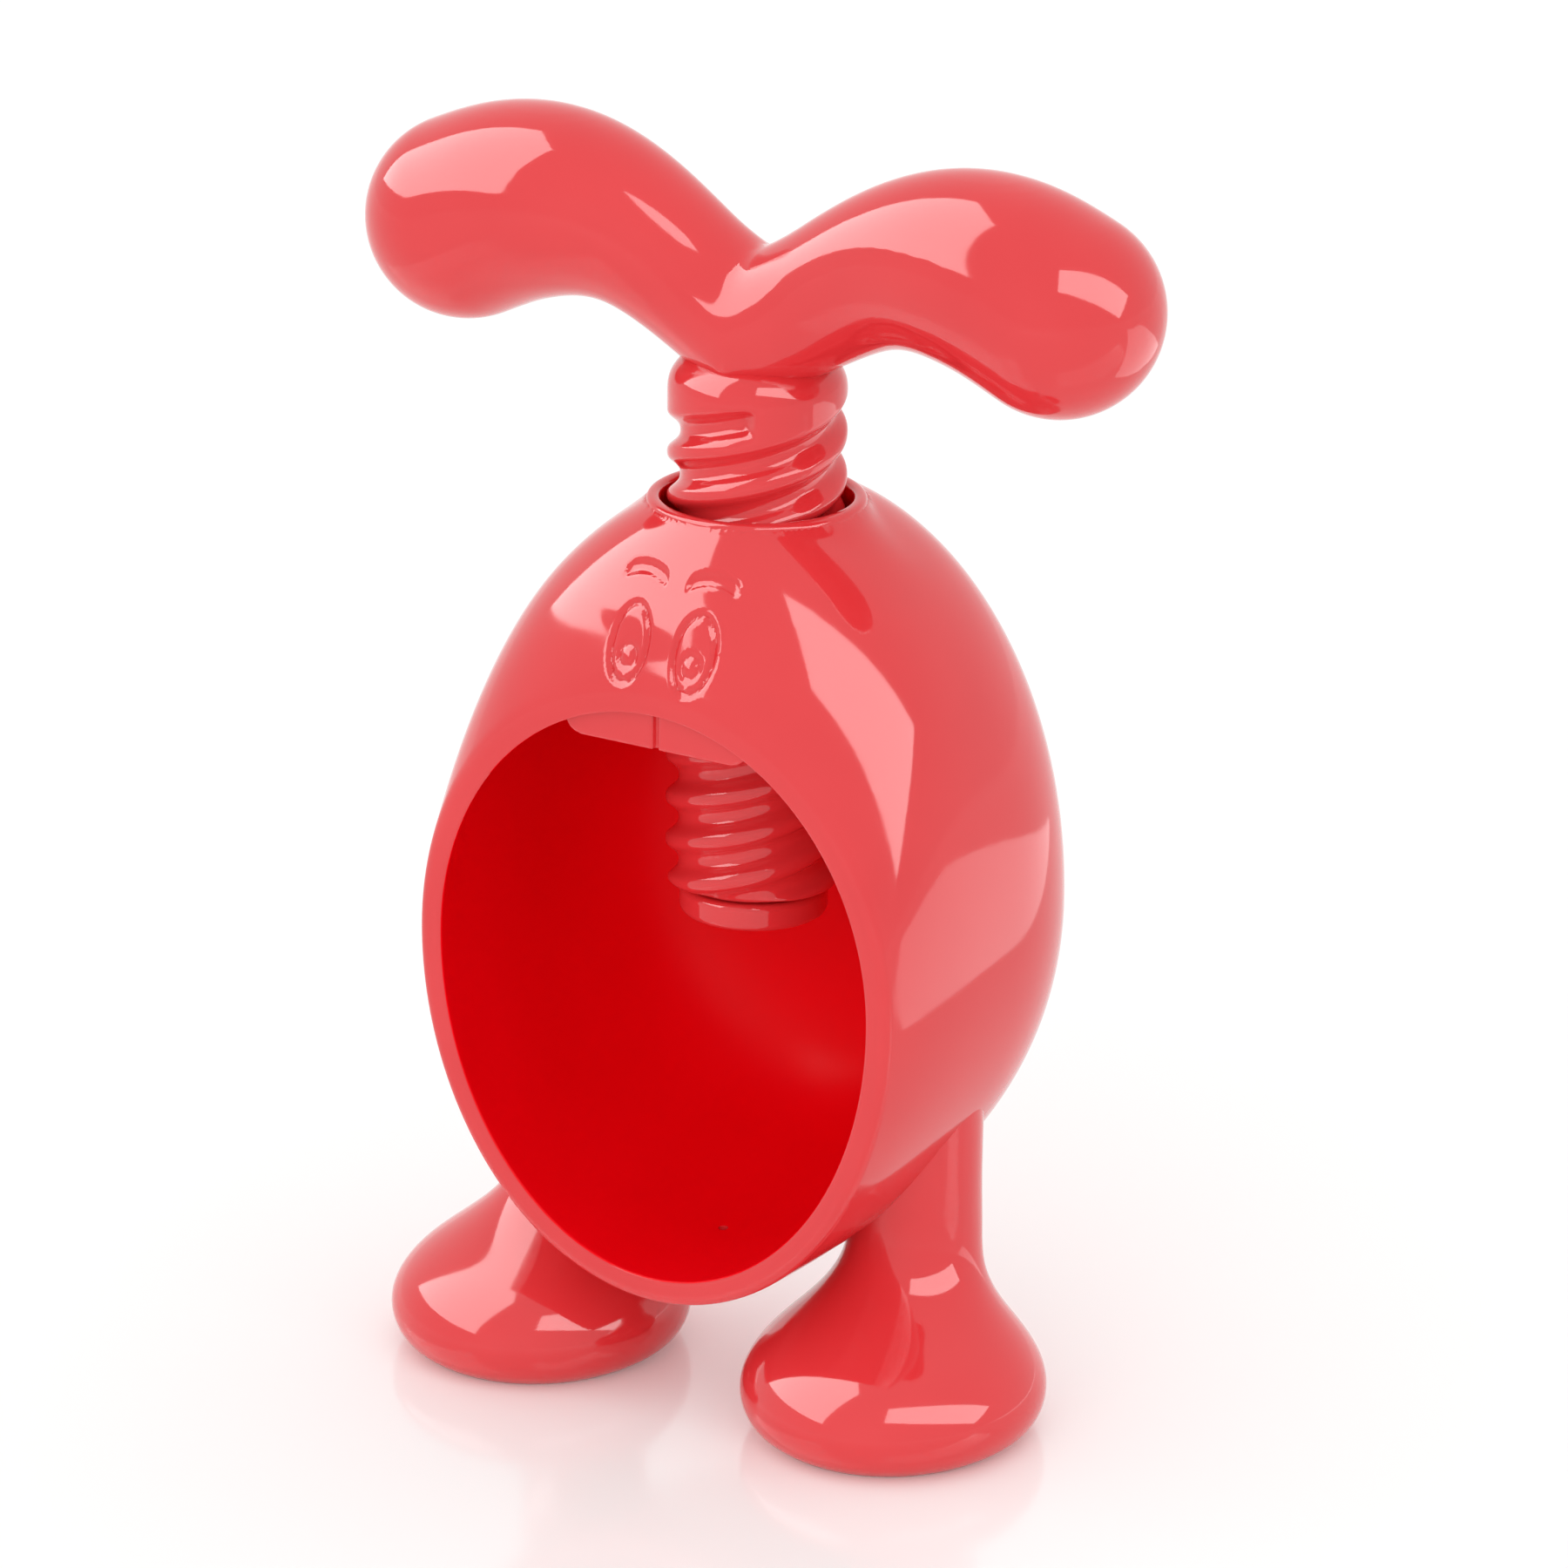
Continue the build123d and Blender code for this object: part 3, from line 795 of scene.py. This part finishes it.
body = body_moulding()
spindle = threaded_spindle()
ears = ear_moulding()
teeth = front_teeth()
left_leg = leg_moulding("left_leg_moulding", -1)
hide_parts("left_leg")
right_leg = leg_moulding("right_leg_moulding", 1)
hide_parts("right_leg")

# Polished mould: mirror gloss. Core side: silky, in a brighter and deeper red that is painted glow. Hidden
# faces: matt. Screws: bright grey.
gloss_red = moulded_abs("gloss_red_abs_moulded", "E6393D", "E03237", (0.05, 0.09), 0.004)
# Painted light: the core side's red is brighter and deeper than the outside's, standing in for light that
# shines through the thin wall and bounces round the hollow. Its lower shine is the real finish.
satin_red_painted_glow = moulded_abs("satin_red_abs_core_side_painted_glow", "F80214", "F20110", (0.3, 0.36), 0.008, 0.06)
matt_red = moulded_abs("matt_red_abs_moulded", "DE3A3E", "D83238", (0.38, 0.5), 0.02)
steel = plated_steel("zinc_plated_steel_turned")

for piece in (body, spindle, ears, teeth, left_leg, right_leg):
    paint(piece, gloss_red)
for name in ("neck_bush", "pressure_foot"):
    paint(nodes[name], gloss_red)
for name in ("left_sole", "right_sole"):
    paint(nodes[name], matt_red)
for name in ("leg_screws", "handle_screw"):
    paint(nodes[name], steel)

# The core side of the body, which the mould leaves less polished, in the red with the painted glow
body.data.materials.append(satin_red_painted_glow)
hollow_middle = Vector((0, 0, HOLLOW_MIDDLE * MM))
for face in body.data.polygons:
    face.material_index = int(face.normal.dot(face.center - hollow_middle) < 0)

# Floor and surround
clear_selection()
bpy.ops.mesh.primitive_plane_add(size=FLOOR_SIZE)
floor = started("studio_floor")
white = bpy.data.materials.new("white_gloss_acrylic_sheet")
white.use_nodes = True
sheet = white.node_tree.nodes["Principled BSDF"]
sheet.inputs["Base Color"].default_value = linear("F4F3F2")
sheet.inputs["Roughness"].default_value = 0.12
sheet.inputs["Emission Color"].default_value = (1, 1, 1, 1)
# The sheet's lift towards white is only for the view and for reflections, and lights nothing
ray = add(white.node_tree, "ShaderNodeLightPath")
seen = add(white.node_tree, "ShaderNodeMath", {"operation": "MAXIMUM"}, {
    0: ray.outputs["Is Camera Ray"], 1: ray.outputs["Is Glossy Ray"]})
lift = add(white.node_tree, "ShaderNodeMath", {"operation": "MULTIPLY", 1: FLOOR_LIFT}, {
    0: seen.outputs["Value"]})
white.node_tree.links.new(lift.outputs["Value"], sheet.inputs["Emission Strength"])
paint(floor, white)

world = bpy.data.worlds.new("studio_surround")
bpy.context.scene.world = world
world.use_nodes = True
surround = world.node_tree.nodes["Background"]
surround.inputs["Color"].default_value = (1, 1, 1, 1)
surround.inputs["Strength"].default_value = 1.0


def aimed(turn, rise, roll):
    """Turn of a lamp or camera that looks at the object from an azimuth and an elevation."""
    upright = Matrix.Rotation(turn, 3, "Z") @ Matrix.Rotation(pi / 2 - rise, 3, "X")
    return (upright @ Matrix.Rotation(roll, 3, "Z")).to_euler()


def softbox(name, azimuth, elevation, distance, width, height, roll, radiance, seen_by):
    """Area lamp aimed at the object. Azimuth 0 is in front of the mouth, and grows towards +X."""
    turn = radians(azimuth)
    rise = radians(elevation)
    lamp = bpy.data.lights.new(name, "AREA")
    lamp.shape = "RECTANGLE"
    lamp.size = width
    lamp.size_y = height
    lamp.energy = radiance * pi * width * height
    holder = bpy.data.objects.new(name, lamp)
    bpy.context.scene.collection.objects.link(holder)
    holder.location = (
        distance * sin(turn) * cos(rise), -distance * cos(turn) * cos(rise), LAMP_AIM + distance * sin(rise))
    holder.rotation_euler = aimed(turn, rise, radians(roll))
    holder.visible_camera = False
    holder.visible_diffuse = seen_by == "diffuse"
    holder.visible_glossy = seen_by == "glossy"
    return holder


# Tall panel on the left, raised so that its lower edge shows on the head
left_softbox = softbox(
    "left_softbox", azimuth=-66, elevation=0, distance=0.5, width=0.81, height=1.7,
    roll=8, radiance=5.0, seen_by="glossy")
left_softbox.location.z = 1.12
# Narrow panel on the right, which makes the long streak on the flank
softbox(
    "right_softbox", azimuth=76, elevation=38, distance=0.75, width=0.36, height=1.05,
    roll=52, radiance=5.0, seen_by="glossy")
# Even light from the front
softbox(
    "front_fill", azimuth=10, elevation=12, distance=1.2, width=0.8, height=0.8,
    roll=0, radiance=1.1, seen_by="diffuse")
# Bright patch of the table behind the object, mirrored low on the flank
table_glow = softbox(
    "table_glow", azimuth=120, elevation=0, distance=0.3, width=0.7, height=0.26,
    roll=0, radiance=1.3, seen_by="glossy")
table_glow.location = (0.45, 0.26, 0.002)
table_glow.rotation_euler = (pi, 0, radians(14))

camera = bpy.data.cameras.new("photo_camera")
camera.lens = CAMERA_LENS
camera.sensor_width = 36.0
camera.clip_end = 50.0
viewer = bpy.data.objects.new("photo_camera", camera)
bpy.context.scene.collection.objects.link(viewer)
viewer.location = CAMERA_PLACE
viewer.rotation_euler = aimed(CAMERA_TURN, CAMERA_RISE, CAMERA_ROLL)
bpy.context.scene.camera = viewer
bpy.context.scene.view_settings.view_transform = "Standard"
